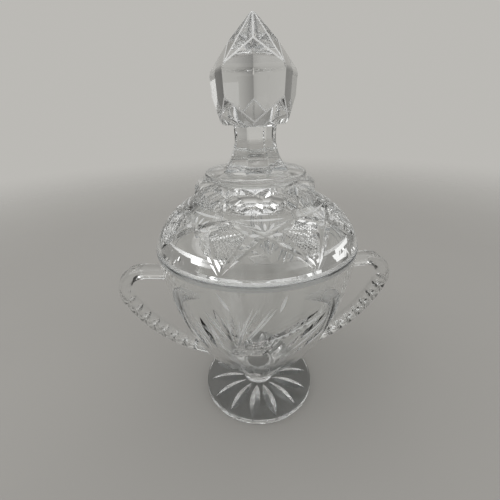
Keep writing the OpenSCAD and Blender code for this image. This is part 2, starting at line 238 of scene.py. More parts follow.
@dataclass(frozen=True)
class GlassFinish(Coating):
    """Lead glass: how clear it is, and how far its surface is from a perfect polish."""

    tint: Triple
    haze: float
    smear: float
    ripple: float
    ripple_size: float
    ior: float = 1.54
    passes: float = 0.9
    clarity: float = 1.0
    smears_per_m: float = 70.0
    wave_detail: float = 1.0
    film_detail: float = 3.0

    def surface(self, graph: Graph) -> Socket:
        """Clear glass with a faint ripple in its surface and faint smears in its gloss.

        Args:
            graph: The material's nodes.

        Returns:
            The shader, which lets most of the light through where it would cast a shadow.
        """
        place = graph.add("ShaderNodeTexCoord", out="Object")
        wave = graph.noise(place, 1 / self.ripple_size, self.wave_detail)
        film = graph.noise(place, self.smears_per_m, self.film_detail)
        rise = {"Strength": 1.0, "Distance": self.ripple, "Height": wave}
        bump = graph.add("ShaderNodeBump", rise)
        glass = graph.add(
            "ShaderNodeBsdfPrincipled",
            {
                "Base Color": (*self.tint, 1.0),
                "Roughness": self.haze + self.smear * film,
                "IOR": self.ior,
                "Transmission Weight": self.clarity,
                "Normal": bump,
            },
        )
        lit = graph.add("ShaderNodeLightPath", out="Is Shadow Ray")
        shade = (*dimmed(self.tint, self.passes), 1.0)
        clear = graph.add("ShaderNodeBsdfTransparent", {"Color": shade})
        return graph.add("ShaderNodeMixShader", {0: lit, 1: glass, 2: clear})


@dataclass(frozen=True)
class FloorFinish(Coating):
    """The pale studio floor, which fades out into the backdrop."""

    colour: Triple
    fade_from: float
    fade_to: float
    mottle: float = 0.97
    mottles_per_m: float = 14.0
    mottle_detail: float = 4.0
    roughness: float = 0.6
    gloss: float = 0.2

    def surface(self, graph: Graph) -> Socket:
        """A matt floor with a faint mottle, clear beyond the fade.

        Args:
            graph: The material's nodes.

        Returns:
            The shader.
        """
        place = graph.add("ShaderNodeTexCoord", out="Object")
        cloud = graph.noise(place, self.mottles_per_m, self.mottle_detail)
        tone = graph.mixed(cloud, (*dimmed(self.colour, self.mottle), 1.0), (*self.colour, 1.0))
        reach = graph.add("ShaderNodeVectorMath", {0: place}, "Value", operation="LENGTH")
        faded = graph.eased(reach, self.fade_from, self.fade_to, 1.0, 0.0)
        return graph.add(
            "ShaderNodeBsdfPrincipled",
            {
                "Base Color": tone,
                "Roughness": self.roughness,
                "Specular IOR Level": self.gloss,
                "Alpha": faded,
            },
        )


class Finish(Enum):
    """The finishes of the glass, each with what it is made from."""

    POLISHED = GlassFinish("polished_glass", (0.985, 0.992, 0.99), 0.0, 0.012, 0.00002, 0.012)
    GROUND = GlassFinish("ground_glass", (0.985, 0.992, 0.99), 0.004, 0.02, 0.00003, 0.004)
    FROSTED = GlassFinish(
        "frosted_glass", (0.78, 0.81, 0.83), 0.34, 0.1, 0.00004, 0.0016, passes=0.6
    )
    SATIN = GlassFinish("satin_glass", (0.9, 0.92, 0.93), 0.22, 0.1, 0.00003, 0.002)
    # A half-clear whitish finish for fine cuts and the knob's edges: partly real wear of ground
    # glass, partly a painted glint that whitens them as light along an edge would
    WORN = GlassFinish("worn_glass", (0.97, 0.98, 0.98), 0.28, 0.1, 0.00003, 0.002, clarity=0.4)
    FUSED = FusedFinish("fused_joint")

    def material(self) -> bpy.types.Material:
        """The finish's material, made at its first use."""
        return bpy.data.materials.get(self.value.name) or self.value.make()


@dataclass(frozen=True)
class Stretch:
    """One stretch of a turned outline, straight or round, with the glass on its left.

    Points are distances from the axis and heights.
    """

    start: Pair
    end: Pair
    steps: int = 1
    centre: Pair | None = None
    finish: Finish = Finish.POLISHED

    def _sweep(self) -> float:
        """How far a round stretch turns.

        Returns:
            The angle in radians, less than half a turn.
        """
        first = math.atan2(self.start[1] - self.centre[1], self.start[0] - self.centre[0])
        last = math.atan2(self.end[1] - self.centre[1], self.end[0] - self.centre[0])
        return (last - first + math.pi) % (2 * math.pi) - math.pi

    def points(self) -> list[Pair]:
        """The stretch's points, without its end.

        Returns:
            One point for each step.
        """
        (r0, z0), (r1, z1) = self.start, self.end
        shares = [i / self.steps for i in range(self.steps)]
        if self.centre is None:
            return [(r0 + share * (r1 - r0), z0 + share * (z1 - z0)) for share in shares]
        arm = Vector((r0 - self.centre[0], z0 - self.centre[1]))
        sweep = self._sweep()
        turned = [Matrix.Rotation(share * sweep, 2) @ arm for share in shares]
        return [(self.centre[0] + p.x, self.centre[1] + p.y) for p in turned]

    def normal(self, r: float, z: float) -> Pair:
        """The direction out of the glass.

        Args:
            r: Distance from the axis.
            z: Height.

        Returns:
            Its parts away from the axis and up.
        """
        if self.centre is None:
            run = Vector((self.end[0] - self.start[0], self.end[1] - self.start[1])).normalized()
            return run.y, -run.x
        arm = Vector((r - self.centre[0], z - self.centre[1])).normalized()
        side = math.copysign(1.0, self._sweep())
        return side * arm.x, side * arm.y


def chained(start: Pair, *legs: tuple) -> tuple[Stretch, ...]:
    """Strings stretches together, each from where the last one ends.

    Args:
        start: The first stretch's start.
        *legs: For each stretch its end and steps, and its centre and finish where it has them.

    Returns:
        The outline.
    """
    outline: list[Stretch] = []
    for leg in legs:
        outline.append(Stretch(outline[-1].end if outline else start, *leg))
    return tuple(outline)


def around(azimuth: float, r: float, z: float) -> Vector:
    """The point at an azimuth, a distance from the axis and a height."""
    a = math.radians(azimuth)
    return Vector((r * math.sin(a), -r * math.cos(a), z))


@dataclass(frozen=True)
class Swell:
    """A round side through two points of an outline, which swells out from their chord."""

    low: Pair
    high: Pair
    swell: float

    @property
    def radius(self) -> float:
        """Radius of the side's arc."""
        chord = math.dist(self.low, self.high)
        return chord * chord / (8 * self.swell) + self.swell / 2

    @property
    def centre(self) -> Pair:
        """Centre of the side's arc.

        Returns:
            The point, on the side of the axis.
        """
        (r0, z0), (r1, z1) = self.low, self.high
        chord = math.dist(self.low, self.high)
        along = ((r1 - r0) / chord, (z1 - z0) / chord)
        arm = self.radius - self.swell
        return (r0 + r1) / 2 - arm * along[1], (z0 + z1) / 2 + arm * along[0]

    def reach(self, z: float, inset: float = 0.0) -> float:
        """Distance from the axis at a height, taken an inset inside the side."""
        radius = self.radius - inset
        return self.centre[0] + math.sqrt(max(0.0, radius * radius - (z - self.centre[1]) ** 2))

    def spot(self, azimuth: float, z: float) -> tuple[Vector, Vector]:
        """A point of the turned side.

        Args:
            azimuth: Where it is round the axis.
            z: Height.

        Returns:
            The point and the direction out of the glass.
        """
        r = self.reach(z)
        out = ((r - self.centre[0]) / self.radius, (z - self.centre[1]) / self.radius)
        return around(azimuth, r, z), around(azimuth, *out)


class Underside:
    """The foot's flat underside; a spot's second number there is its distance from the axis."""

    def spot(self, azimuth: float, r: float) -> tuple[Vector, Vector]:
        """A point of the underside, and the direction out of the glass."""
        return around(azimuth, r, 0.0), Vector((0.0, 0.0, -1.0))


Side = Swell | Underside


def placed(name: str, data: bpy.types.ID) -> bpy.types.Object:
    """Puts a new object into the scene.

    Args:
        name: Its name.
        data: Its mesh, light or camera.

    Returns:
        The object.
    """
    made = bpy.data.objects.new(name, data)
    bpy.context.scene.collection.objects.link(made)
    return made


def plain_mesh(
    name: str, points: Sequence[Sequence[float]], faces: Sequence[Sequence[int]]
) -> bpy.types.Mesh:
    """Makes a mesh whose faces all count as a fresh cut.

    Args:
        name: The mesh's name.
        points: Its points.
        faces: Its faces.

    Returns:
        The mesh, facing outwards.
    """
    mesh = bpy.data.meshes.new(name)
    mesh.from_pydata(points, [], faces)
    work = bmesh.new()
    work.from_mesh(mesh)
    bmesh.ops.recalc_face_normals(work, faces=work.faces)
    if work.calc_volume(signed=True) < 0:
        bmesh.ops.reverse_faces(work, faces=work.faces)
    work.to_mesh(mesh)
    work.free()
    mesh.attributes.new(STRETCH, "INT", "FACE")
    return marked(mesh, FRESH_CUT)


def marked(mesh: bpy.types.Mesh, mark: int) -> bpy.types.Mesh:
    """Gives all of a mesh's faces one mark, and returns the mesh."""
    mesh.attributes[STRETCH].data.foreach_set("value", [mark] * len(mesh.polygons))
    return mesh


def ring_faces(sizes: Sequence[int]) -> list[list[int]]:
    """Faces that join rings of points, which are numbered one ring after another.

    Args:
        sizes: Number of points of each ring, of which the first and the last may have one.

    Returns:
        Each face's points.
    """
    count = max(sizes)
    faces: list[list[int]] = []
    start = 0
    for size, next_size in zip(sizes, sizes[1:]):
        above = start + size
        for j in range(count):
            k = (j + 1) % count
            low = [start] if size == 1 else [start + j, start + k]
            high = [above] if next_size == 1 else [above + k, above + j]
            faces.append(low + high)
        start = above
    return faces


def turned_mesh(name: str, outline: Sequence[Stretch], sides: int) -> bpy.types.Mesh:
    """Turns an outline about the axis.

    Args:
        name: The mesh's name.
        outline: Stretches from the axis to the axis.
        sides: Number of sides round the axis.

    Returns:
        The mesh, with each face's stretch in an attribute.
    """
    stations = [(point, i) for i, stretch in enumerate(outline) for point in stretch.points()]
    marks = [mark for _, mark in stations for _ in range(sides)]
    ends = [point for point, _ in stations] + [outline[-1].end]
    sizes = [1 if r < ON_AXIS else sides for r, _ in ends]
    turn = 2 * math.pi / sides
    points = [
        (r * math.cos(i * turn), r * math.sin(i * turn), z)
        for (r, z), size in zip(ends, sizes)
        for i in range(size)
    ]
    mesh = bpy.data.meshes.new(name)
    mesh.from_pydata(points, [], ring_faces(sizes))
    finishes = list(dict.fromkeys(stretch.finish for stretch in outline))
    for finish in finishes:
        mesh.materials.append(finish.material())
    slots = [finishes.index(outline[mark].finish) for mark in marks]
    mesh.polygons.foreach_set("material_index", slots)
    mesh.attributes.new(STRETCH, "INT", "FACE").data.foreach_set("value", marks)
    return mesh


def lofted_mesh(name: str, rings: Sequence[Sequence[Vector]]) -> bpy.types.Mesh:
    """Joins rings of points into a closed mesh.

    Args:
        name: The mesh's name.
        rings: Rings of as many points each, of which the first and the last may be one point.

    Returns:
        The mesh, with its ends closed.
    """
    points = [point for ring in rings for point in ring]
    sizes = [len(ring) for ring in rings]
    faces = ring_faces(sizes)
    for first, size in ((0, sizes[0]), (len(points) - sizes[-1], sizes[-1])):
        if size > 2:
            faces.append(list(range(first, first + size)))
    return plain_mesh(name, points, faces)


@dataclass(frozen=True)
class Cut:
    """A wheel cut along a side, deepest in its middle and run out to nothing at its ends.

    The path has two or three spots of the side, with the second of three at a share of its length.
    A cut with a width has a round floor, and one without is a sharp mitre of the given half angle.
    """

    path: tuple[Pair, ...]
    depth: float
    half_angle: float = 52.0
    width: float = 0.0
    middle: float = 0.5
    steps: int = 24
    lift: float = 0.6
    finish: Finish = Finish.GROUND
    floor_steps: int = 12

    def along(self, *path: Pair) -> "Cut":
        """The same cut along another path."""
        return replace(self, path=path)

    def _spot(self, side: Side, t: float) -> tuple[Vector, Vector]:
        """A spot of the path.

        Args:
            side: The side that is cut.
            t: Share of the path's length.

        Returns:
            The point and the direction out of the glass.
        """
        (a0, z0), (a1, z1) = self.path[0], self.path[-1]
        azimuth, height = a0 + t * (a1 - a0), z0 + t * (z1 - z0)
        if len(self.path) == 3:
            bow = t * (1 - t) / (self.middle * (1 - self.middle))
            azimuth += bow * (self.path[1][0] - a0 - self.middle * (a1 - a0))
            height += bow * (self.path[1][1] - z0 - self.middle * (z1 - z0))
        return side.spot(azimuth, height)

    def _section(self, share: float) -> list[Pair]:
        """The cutter's section at a share of its depth.

        Args:
            share: The share, 1 in the cut's middle.

        Returns:
            Distances across the cut and out of the glass.
        """
        if self.width == 0.0:
            half = (self.lift + self.depth * share) * math.tan(math.radians(self.half_angle))
            return [(0.0, -self.depth * share), (half, self.lift), (-half, self.lift)]
        half = self.width / 2 * math.sqrt(max(0.0, share + self.lift / self.depth))
        spread = [i / (self.floor_steps / 2) - 1 for i in range(self.floor_steps + 1)]
        return [(x * half, self.depth * ((2 * x * half / self.width) ** 2 - share)) for x in spread]

    def mesh(self, side: Side) -> bpy.types.Mesh:
        """Makes the cutter.

        Args:
            side: The side that is cut.

        Returns:
            A closed mesh of the glass to take away and of what stands over it.
        """
        overrun = math.sqrt(1 + self.lift / self.depth)
        shares = [0.5 + overrun * (i / self.steps - 0.5) for i in range(self.steps + 1)]
        spots = [self._spot(side, t) for t in shares]
        rings: list[list[Vector]] = []
        for i, (t, (point, out)) in enumerate(zip(shares, spots)):
            if i in (0, self.steps):
                rings.append([point + self.lift * out])
                continue
            along = (spots[i + 1][0] - spots[i - 1][0]).normalized()
            across = out.cross(along).normalized()
            section = self._section(1 - (2 * t - 1) ** 2)
            rings.append([point + x * across + y * out for x, y in section])
        return lofted_mesh("wheel_cut", rings)


@dataclass(frozen=True)
class Hatch:
    """A field of fine mitres that cross, and leave a small pyramid in each of their gaps.

    The corners run round the field, and each is a spot of the side.
    """

    corners: tuple[Pair, ...]
    columns: int
    rows: int
    depth: float
    lift: float = 0.6
    flare: float = 0.16
    tip_depth: float = 0.06
    finish: Finish = Finish.GROUND

    def over(self, *corners: Pair) -> "Hatch":
        """The same hatch over another field."""
        return replace(self, corners=corners)

    def _spot(self, side: Side, u: float, v: float, out: float) -> Vector:
        """A point over the field.

        Args:
            side: The side that is cut.
            u: Share of the way along the field.
            v: Share of the way across it.
            out: Distance out of the glass.

        Returns:
            The point.
        """
        a, b, c, d = self.corners
        azimuth, height = (
            (1 - u) * (1 - v) * a[i] + u * (1 - v) * b[i] + u * v * c[i] + (1 - u) * v * d[i]
            for i in (0, 1)
        )
        point, normal = side.spot(azimuth, height)
        return point + out * normal

    def mesh(self, side: Side) -> bpy.types.Mesh:
        """Makes the cutter.

        Args:
            side: The side that is cut.

        Returns:
            A closed mesh whose underside is the field of pyramids.
        """
        m, n = self.columns, self.rows
        grid = [(i, j) for j in range(n + 1) for i in range(m + 1)]
        cells = [(i, j) for j in range(n) for i in range(m)]
        points = [self._spot(side, i / m, j / n, -self.depth) for i, j in grid]
        tips = len(points)
        middles = [((i + 0.5) / m, (j + 0.5) / n) for i, j in cells]
        points += [self._spot(side, u, v, -self.tip_depth) for u, v in middles]
        cover = len(points)
        flare, wide = self.flare, 1 + 2 * self.flare
        spread = [(wide * i / m - flare, wide * j / n - flare) for i, j in grid]
        points += [self._spot(side, u, v, self.lift) for u, v in spread]
        faces: list[list[int]] = []
        for k, (i, j) in enumerate(cells):
            first = j * (m + 1) + i
            ring = [first, first + 1, first + m + 2, first + m + 1]
            faces += [[ring[e], ring[(e + 1) % 4], tips + k] for e in range(4)]
            faces.append([cover + e for e in ring])
        rim = list(range(m)) + [j * (m + 1) + m for j in range(n)]
        rim += [n * (m + 1) + m - i for i in range(m)] + [(n - j) * (m + 1) for j in range(n)]
        for k, first in enumerate(rim):
            second = rim[(k + 1) % len(rim)]
            faces.append([first, second, cover + second, cover + first])
        return plain_mesh("hatch_cut", points, faces)


@dataclass(frozen=True)
class Bead:
    """A small round hollow at a spot of a side."""

    spot: Pair
    radius: float
    depth: float
    finish: Finish = Finish.GROUND
    fineness: int = 3

    def mesh(self, side: Side) -> bpy.types.Mesh:
        """Makes the cutter, a ball that dips into the glass.

        Args:
            side: The side that is cut.

        Returns:
            A closed mesh.
        """
        point, out = side.spot(*self.spot)
        work = bmesh.new()
        place = Matrix.Translation(point + (self.radius - self.depth) * out)
        ball = {"subdivisions": self.fineness, "radius": self.radius, "matrix": place}
        bmesh.ops.create_icosphere(work, **ball)
        points = [vert.co.copy() for vert in work.verts]
        faces = [[vert.index for vert in face.verts] for face in work.faces]
        work.free()
        return plain_mesh("bead_cut", points, faces)


@dataclass(frozen=True)
class Flat:
    """A flat ground across a turned side: how far out it lies at a height, and how it leans."""

    reach: float
    height: float
    lean: float
    size: float

    def mesh(self) -> bpy.types.Mesh:
        """Makes the cutter, a block whose inner face is the flat, at the front.

        Returns:
            A closed mesh.
        """
        turn = Matrix.Rotation(math.radians(self.lean), 3, "X")
        corners = [
            Vector((x * self.size, -y * self.size, z * self.size))
            for z in (-0.5, 0.5)
            for x, y in ((-0.5, 0.0), (0.5, 0.0), (0.5, 1.0), (-0.5, 1.0))
        ]
        foot = Vector((0.0, -self.reach, self.height))
        faces = [[0, 1, 2, 3], [4, 5, 6, 7]]
        faces += [[i, (i + 1) % 4, 4 + (i + 1) % 4, 4 + i] for i in range(4)]
        return plain_mesh("flat_cut", [foot + turn @ corner for corner in corners], faces)


Cutter = Cut | Hatch | Bead


class Work(Enum):
    """What the wheel does with a cutter's copies."""

    GRIND = "DIFFERENCE"
    FUSE = "UNION"


class WheelTree:
    """A node tree that grinds a cutter, copied round the axis, out of a blank, or fuses it on."""

    INPUTS = {
        "Blank": "Geometry",
        "Cutter": "Object",
        "Copies": "Int",
        "First turn": "Float",
        "Cut finish": "Material",
    }

    def __init__(self, work: Work) -> None:
        """Builds the tree.

        Args:
            work: Whether it grinds or fuses.
        """
        self.tree = bpy.data.node_groups.new(f"wheel_{work.name.lower()}", "GeometryNodeTree")
        face = self.tree.interface
        self.names = {
            name: face.new_socket(name, in_out="INPUT", socket_type=f"NodeSocket{kind}").identifier
            for name, kind in self.INPUTS.items()
        }
        face.new_socket("Piece", in_out="OUTPUT", socket_type="NodeSocketGeometry")
        graph = Graph(self.tree)
        given = graph.node("NodeGroupInput").outputs
        sockets = [Socket(graph, given[name]) for name in self.INPUTS]
        blank, tool, count, first_turn, finish = sockets
        cutter = graph.add("GeometryNodeObjectInfo", {"Object": tool}, "Geometry")
        stations = graph.add("GeometryNodePoints", {"Count": count})
        angle = graph.add("GeometryNodeInputIndex") * (2 * math.pi) / count + first_turn
        about = {"Axis": (0.0, 0.0, 1.0), "Angle": angle}
        turn = graph.add("FunctionNodeAxisAngleToRotation", about)
        copies = graph.add(
            "GeometryNodeInstanceOnPoints",
            {"Points": stations, "Instance": cutter, "Rotation": turn},
        )
        shaped = graph.node(
            "GeometryNodeMeshBoolean", {"Mesh 2": copies}, operation=work.value, solver="MANIFOLD"
        )
        self.tree.links.new(blank.link, shaped.inputs["Mesh 1" if work is Work.GRIND else "Mesh 2"])
        worked = Socket(graph, shaped.outputs[0])
        real = graph.add("GeometryNodeRealizeInstances", {"Geometry": worked})
        mark = graph.add("GeometryNodeInputNamedAttribute", {"Name": STRETCH}, data_type="INT")
        is_cut = graph.add(
            "FunctionNodeCompare", {2: mark, 3: FRESH_CUT}, data_type="INT", operation="EQUAL"
        )
        dressed = graph.add(
            "GeometryNodeSetMaterial", {"Geometry": real, "Selection": is_cut, "Material": finish}
        )
        graph.node("NodeGroupOutput", {0: dressed})

    def run(
        self,
        blank: bpy.types.Mesh,
        cutter: bpy.types.Mesh,
        copies: int,
        first_turn: float,
        finish: Finish,
    ) -> bpy.types.Mesh:
        """Grinds or fuses one mesh.

        Args:
            blank: The mesh to work on.
            cutter: The mesh to take away or add.
            copies: Number of copies round the axis.
            first_turn: Turn of the first copy, in degrees.
            finish: The finish of the new faces.

        Returns:
            The new mesh, with its new faces marked as dressed; the old ones are removed.
        """
        work, tool = placed("blank", blank), placed("cutter", cutter)
        modifier = work.modifiers.new("wheel", "NODES")
        modifier.node_group = self.tree
        modifier[self.names["Cutter"]] = tool
        modifier[self.names["Copies"]] = copies
        modifier[self.names["First turn"]] = math.radians(first_turn)
        modifier[self.names["Cut finish"]] = finish.material()
        graph = bpy.context.evaluated_depsgraph_get()
        made = bpy.data.meshes.new_from_object(work.evaluated_get(graph))
        work.modifiers.remove(modifier)
        for thing in (work, tool):
            bpy.data.objects.remove(thing)
        for mesh in (blank, cutter):
            bpy.data.meshes.remove(mesh)
        layer = made.attributes[STRETCH].data
        marks = [0] * len(layer)
        layer.foreach_get("value", marks)
        layer.foreach_set("value", [DRESSED if mark == FRESH_CUT else mark for mark in marks])
        return made


class Workpiece:
    """A piece of glass at the wheel: its mesh, and the outline that it was turned from."""

    trees: dict[Work, WheelTree] = {}

    def __init__(self, name: str, mesh: bpy.types.Mesh, outline: Sequence[Stretch] = ()) -> None:
        """Keeps the blank.

        Args:
            name: The piece's name, which is its node's.
            mesh: The blank.
            outline: The outline that it was turned from, or none.
        """
        self.name = name
        self.mesh = mesh
        self.outline = outline

    @classmethod
    def turned(cls, name: str, outline: Sequence[Stretch], sides: int) -> "Workpiece":
        """A blank that is turned from an outline."""
        return cls(name, turned_mesh(name, outline, sides), outline)

    def _work(self, work: Work, *how: Any) -> None:
        """Works the glass with the tree that is kept for it."""
        tree = self.trees.get(work) or self.trees.setdefault(work, WheelTree(work))
        self.mesh = tree.run(self.mesh, *how)

    def grind(
        self,
        cutter: bpy.types.Mesh,
        copies: int = 1,
        first_turn: float = 0.0,
        finish: Finish = Finish.GROUND,
    ) -> None:
        """Takes copies of a cutter out of the glass, the first at a turn in degrees."""
        self._work(Work.GRIND, cutter, copies, first_turn, finish)

    def cut(self, cutter: Cutter, side: Side, copies: int, first_turn: float = 0.0) -> None:
        """Grinds copies of a cut into a side, in the cut's own finish."""
        self.grind(cutter.mesh(side), copies, first_turn, cutter.finish)

    def fuse(self, other: bpy.types.Mesh, finish: Finish) -> None:
        """Joins another mesh on, whose fresh faces get the finish."""
        self._work(Work.FUSE, other, 1, 0.0, finish)

    def _turned_normals(self) -> list[Triple]:
        """True normals of the turned faces.

        Returns:
            One for each face corner, with zeros for the ground faces.
        """
        mesh = self.mesh
        normals = [(0.0, 0.0, 0.0)] * len(mesh.loops)
        marks = mesh.attributes[STRETCH].data
        for face in mesh.polygons:
            mark = marks[face.index].value
            if mark < 0:
                continue
            for corner in face.loop_indices:
                point = mesh.vertices[mesh.loops[corner].vertex_index].co
                r = math.hypot(point.x, point.y)
                out, up = self.outline[mark].normal(r, point.z)
                if r < ON_AXIS:
                    normals[corner] = (0.0, 0.0, math.copysign(1.0, up))
                else:
                    normals[corner] = (out * point.x / r, out * point.y / r, up)
        return normals

    def deliver(self, body: str) -> None:
        """Makes the finished piece in the frame, in place of its CAD node.

        Args:
            body: The body that it rides on.
        """
        mesh = self.mesh
        mesh.polygons.foreach_set("use_smooth", [True] * len(mesh.polygons))
        mesh.set_sharp_from_angle(angle=SHARP_ANGLE)
        normals = self._turned_normals() if self.outline else None
        mesh.transform(Matrix.Scale(MM, 4))
        if normals:
            mesh.normals_split_custom_set(normals)
        mesh.name = f"glass_{self.name}"
        piece = placed(mesh.name, mesh)
        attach(piece, body)
        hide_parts(self.name)
        LOG.info("%s: %d faces", piece.name, len(mesh.polygons))


@dataclass(frozen=True)
class Levels:
    """Heights at which the pieces meet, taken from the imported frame."""

    foot_top: float
    bowl_base: float
    rim: float
    seat: float
    lip: float
    pad: float
    finial: float

    @classmethod
    def measured(cls) -> "Levels":
        """Reads the levels off the CAD nodes.

        Returns:
            The levels.
        """
        low = {node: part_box(node)[0].z / MM for node in ("bowl", "finial_pad", "finial")}
        high = {node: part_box(node)[1].z / MM for node in ("foot", "bowl")}
        seat = high["bowl"] + SEAT_GAP
        return cls(
            high["foot"],
            low["bowl"],
            high["bowl"],
            seat,
            seat - LIP_DEPTH,
            low["finial_pad"],
            low["finial"],
        )


@dataclass
class Pedestal:
    """The foot, with its star of rays cut from below, and the short stem on it."""

    levels: Levels
    foot_r: float = 35.0
    edge_h: float = 4.2
    edge_round: float = 1.0
    under_bevel: float = 0.5
    stem_r: float = 11.0
    waist_r: float = 9.5
    rays: int = 14
    ray: Cut = Cut(((0.0, 9.0), (0.0, 32.0)), 2.0, 58.0, finish=Finish.SATIN)
    sides: int = 224

    def build(self) -> None:
        """Makes both pieces."""
        self._foot().deliver("bowl")
        self._stem().deliver("bowl")

    def _foot(self) -> Workpiece:
        """The foot, turned and rayed.

        Returns:
            The piece.
        """
        r, bevel, top = self.foot_r, self.under_bevel, self.levels.foot_top
        shoulder = (r - self.edge_round, self.edge_h - self.edge_round)
        outline = chained(
            (0.0, 0.0),
            ((r - bevel, 0.0), 8),
            ((r, bevel), 1),
            ((r, shoulder[1]), 4),
            ((shoulder[0], self.edge_h), 6, shoulder),
            ((self.stem_r, top), 8),
            ((0.0, top), 2, None, Finish.FUSED),
        )
        piece = Workpiece.turned("foot", outline, self.sides)
        piece.cut(self.ray, Underside(), self.rays, 180.0 / self.rays)
        return piece

    def _stem(self) -> Workpiece:
        """The stem, turned with a waist.

        Returns:
            The piece.
        """
        low, high, r = self.levels.foot_top, self.levels.bowl_base, self.stem_r
        dip = r - self.waist_r
        waist = (high - low) ** 2 / (8 * dip) + dip / 2
        outline = chained(
            (0.0, low),
            ((r, low), 2, None, Finish.FUSED),
            ((r, high), 14, (self.waist_r + waist, (low + high) / 2)),
            ((0.0, high), 2, None, Finish.FUSED),
        )
        return Workpiece.turned("stem", outline, self.sides)


@dataclass(frozen=True)
class Spray:
    """The cuts on the bowl's front, which are repeated on its back.

    Spots are azimuths and depths below the rim.
    """

    rim: float
    heart: Pair = (-17.0, 38.0)
    heart_share: float = 0.14
    blades: tuple[Pair, ...] = ((-27.0, 12.7), (-17.6, 15.0), (-2.0, 7.5), (27.0, 17.5))
    blade: Cut = Cut((), 1.3, 55.0)
    fans: tuple[tuple[Pair, Pair], ...] = (
        ((-31.7, 41.6), (-36.6, 20.7)),
        ((-41.8, 47.8), (-47.2, 31.3)),
        ((10.0, 39.0), (33.0, 22.0)),
        ((18.0, 46.0), (38.0, 34.0)),
    )
    scoops: tuple[tuple[Pair, Pair, Pair], ...] = (
        ((16.0, 7.5), (39.0, 18.0), (42.0, 44.0)),
        ((-32.0, 7.5), (-54.0, 18.0), (-54.0, 44.0)),
    )
    scoop: Cut = Cut((), 1.6, width=8.0, finish=Finish.SATIN)
    sprigs: tuple[tuple[Pair, Pair], ...] = (
        ((-24.1, 3.8), (-18.1, 13.1)),
        ((7.6, 4.3), (4.9, 13.2)),
        ((-26.0, 39.0), (-31.5, 21.0)),
        ((-36.5, 45.0), (-42.0, 26.0)),
        ((14.0, 43.0), (36.0, 27.0)),
    )
    # Sprigs and veins take the worn finish, whose whitish colour is partly wear of ground cuts and
    # partly a painted glint
    sprig: Cut = Cut((), 0.7, 50.0, finish=Finish.WORN)
    vein_leans: tuple[float, ...] = (-5.6, -3.2, 3.2, 5.6)
    vein_from: float = 0.25
    vein_short: float = 3.0
    vein: Cut = Cut((), 0.5, 45.0, lift=0.4, finish=Finish.WORN)
    hatch: Hatch = Hatch(((-22.0, 43.0), (-4.0, 43.0), (2.0, 36.0), (-14.0, 34.0)), 12, 7, 0.45)
    bead_row: tuple[Pair, Pair] = ((-11.0, 33.5), (19.5, 22.0))
    bead_row_gap: float = 3.3
    beads: int = 9
    bead_r: float = 1.35
    bead_depth: float = 0.5

    def _lowered(self, *spots: Pair) -> tuple[Pair, ...]:
        """The spots with heights in place of their depths below the rim."""
        return tuple((azimuth, self.rim - drop) for azimuth, drop in spots)

    @staticmethod
    def _between(first: Pair, last: Pair, share: float) -> Pair:
        """The spot at a share of the way from one spot to another."""
        return first[0] + share * (last[0] - first[0]), first[1] + share * (last[1] - first[1])

    def _veins(self) -> list[Cut]:
        """Fine mitres beside each blade and fan.

        Returns:
            The cuts, four to a leaf.
        """
        found: list[Cut] = []
        for root, tip in [(self.heart, tip) for tip in self.blades] + list(self.fans):
            near = self._between(root, tip, self.vein_from)
            for lean in self.vein_leans:
                ends = (near[0] + lean / 2, near[1]), (tip[0] + lean, tip[1] + self.vein_short)
                found.append(self.vein.along(*self._lowered(*ends)))
        return found

    def _beads(self) -> list[Bead]:
        """Two rows of beads.

        Returns:
            The hollows, one from each row in turn.
        """
        found: list[Bead] = []
        for i in range(2 * self.beads):
            azimuth, drop = self._between(*self.bead_row, i // 2 / (self.beads - 1))
            (spot,) = self._lowered((azimuth, drop + self.bead_row_gap * (i % 2)))
            found.append(Bead(spot, self.bead_r, self.bead_depth))
        return found

    def cuts(self) -> list[Cutter]:
        """The cuts, in the order in which they are ground.

        Returns:
            Blades, fans, scoops, sprigs, veins, the hatched heart and beads.
        """
        leaves = [(self._between(self.heart, tip, self.heart_share), tip) for tip in self.blades]
        found: list[Cutter] = []
        for cut, paths in (
            (self.blade, (*leaves, *self.fans)),
            (self.scoop, self.scoops),
            (self.sprig, self.sprigs),
        ):
            found += [cut.along(*self._lowered(*path)) for path in paths]
        heart = self.hatch.over(*self._lowered(*self.hatch.corners))
        return [*found, *self._veins(), heart, *self._beads()]


